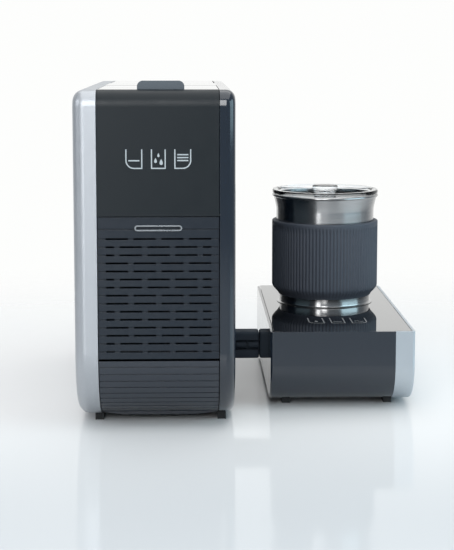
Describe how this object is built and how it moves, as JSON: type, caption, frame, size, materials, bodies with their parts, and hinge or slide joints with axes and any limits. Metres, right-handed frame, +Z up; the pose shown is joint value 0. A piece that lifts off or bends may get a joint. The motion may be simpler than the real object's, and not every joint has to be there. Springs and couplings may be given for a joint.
{
  "type": "pod coffee machine with docked milk frother",
  "caption": "Upright pod coffee machine with a slatted flip-down front, top lid, drip drawer and rear water tank, docked to a low milk frother that carries a lidded steel jug.",
  "frame": {"origin": "on the table, below the middle of the box around both units", "axes": "+Z up, +X to the right seen from the front, +Y from the front to the back"},
  "size_m": [0.309, 0.35, 0.3075],
  "materials": {
    "silver_paint": "satin silver lacquer with fine metallic grain",
    "gloss_dark": "gloss blue-black moulding",
    "slat_plastic": "satin blue-black moulding",
    "frame_plastic": "plain dark moulding",
    "pull_trim": "bright narrow trim",
    "black_rubber": "matt rubber",
    "sleeve_rubber": "matt ribbed silicone",
    "steel": "turned stainless steel",
    "bright_steel": "bright steel",
    "alloy": "die-cast",
    "tank_clear": "smoked clear plastic",
    "clear_plastic": "clear plastic",
    "hose_clear": "translucent silicone",
    "board_green": "glass-fibre board",
    "copper": "wound copper wire",
    "magnet": "nickel-plated magnet"
  },
  "bodies": {
    "machine": {"left_side_panel": "silver_paint", "right_side_panel": "gloss_dark", "left_cheek": "frame_plastic", "right_cheek": "frame_plastic", "base_plate": "frame_plastic", "upper_front_panel": "gloss_dark", "rear_panel": "slat_plastic", "rear_top_cover": "gloss_dark", "machine_feet": "black_rubber", "foot_screws": "bright_steel", "bay_liner": "frame_plastic", "door_pins": "bright_steel", "coffee_spout": "frame_plastic", "brew_chamber": "alloy", "pod_basket": "steel", "lid_pins": "bright_steel", "tank_seat": "frame_plastic", "pump": "bright_steel", "pump_mounts": "black_rubber", "boiler": "alloy", "pressure_hose": "hose_clear", "brew_hose": "hose_clear", "suction_hose": "hose_clear", "tank_hose": "hose_clear", "flow_meter": "frame_plastic", "control_board": "board_green", "touch_board": "board_green", "power_inlet": "frame_plastic", "switch_housing": "frame_plastic", "dock_arm": "slat_plastic"},
    "door": {"front_door": "slat_plastic", "door_pull": "pull_trim"},
    "drip_drawer": {"drawer_front": "slat_plastic", "drip_tray": "frame_plastic"},
    "drip_cover": {"drip_grid": "steel"},
    "lid": {"top_lid": "gloss_dark", "lid_tab": "slat_plastic", "shower_head": "steel", "brew_gasket": "black_rubber"},
    "tank": {"water_tank": "tank_clear", "tank_valve": "frame_plastic"},
    "tank_cover": {"tank_lid": "gloss_dark"},
    "rocker": {"switch_rocker": "gloss_dark"},
    "frother": {"dock_plug": "slat_plastic", "frother_housing": "gloss_dark", "frother_side_panel": "silver_paint", "frother_top_plate": "gloss_dark", "frother_feet": "black_rubber", "frother_motor": "bright_steel", "induction_coil": "copper", "frother_board": "board_green", "frother_touch_board": "board_green"},
    "rotor": {"drive_rotor": "magnet"},
    "jug": {"jug_shell": "steel", "jug_sleeve": "sleeve_rubber"},
    "jug_cover": {"jug_lid": "clear_plastic", "lid_seal": "black_rubber", "lid_knob": "clear_plastic"},
    "whisk": {"whisk": "steel"}
  },
  "joints": [
    {"name": "lid_hinge", "type": "hinge", "parent": "machine", "child": "lid", "pos_m": [-0.08115, -0.028, 0.2945], "axis": [-1, 0, 0], "range_deg": [0, 80]},
    {"name": "door_hinge", "type": "hinge", "parent": "machine", "child": "door", "pos_m": [-0.08115, -0.1704, 0.0703], "axis": [1, 0, 0], "range_deg": [0, 88]},
    {"name": "drawer_slide", "type": "slide", "parent": "machine", "child": "drip_drawer", "axis": [0, -1, 0], "range_m": [0, 0.095]},
    {"name": "grid_lift", "type": "slide", "parent": "drip_drawer", "child": "drip_cover", "axis": [0, 0, 1], "range_m": [0, 0.05]},
    {"name": "tank_lift", "type": "slide", "parent": "machine", "child": "tank", "axis": [0, 0, 1], "range_m": [0, 0.235]},
    {"name": "tank_lid_lift", "type": "slide", "parent": "tank", "child": "tank_cover", "axis": [0, 0, 1], "range_m": [0, 0.05]},
    {"name": "mains_rocker", "type": "hinge", "parent": "machine", "child": "rocker", "pos_m": [-0.06015, 0.1695, 0.034], "axis": [-1, 0, 0], "range_deg": [0, 12]},
    {"name": "frother_undock", "type": "slide", "parent": "machine", "child": "frother", "axis": [1, 0, 0], "range_m": [0, 0.04]},
    {"name": "rotor_spin", "type": "hinge", "parent": "frother", "child": "rotor", "pos_m": [0.0855, 0.071, 0.055], "axis": [0, 0, 1], "continuous": true},
    {"name": "jug_lift", "type": "slide", "parent": "frother", "child": "jug", "axis": [0, 0, 1], "range_m": [0, 0.1]},
    {"name": "jug_lid_lift", "type": "slide", "parent": "jug", "child": "jug_cover", "axis": [0, 0, 1], "range_m": [0, 0.05]},
    {"name": "whisk_spin", "type": "hinge", "parent": "jug", "child": "whisk", "pos_m": [0.0855, 0.071, 0.085], "axis": [0, 0, 1], "continuous": true}
  ],
  "couplings": [
    {"joint": "whisk_spin", "follows": "rotor_spin", "ratio": 1}
  ]
}
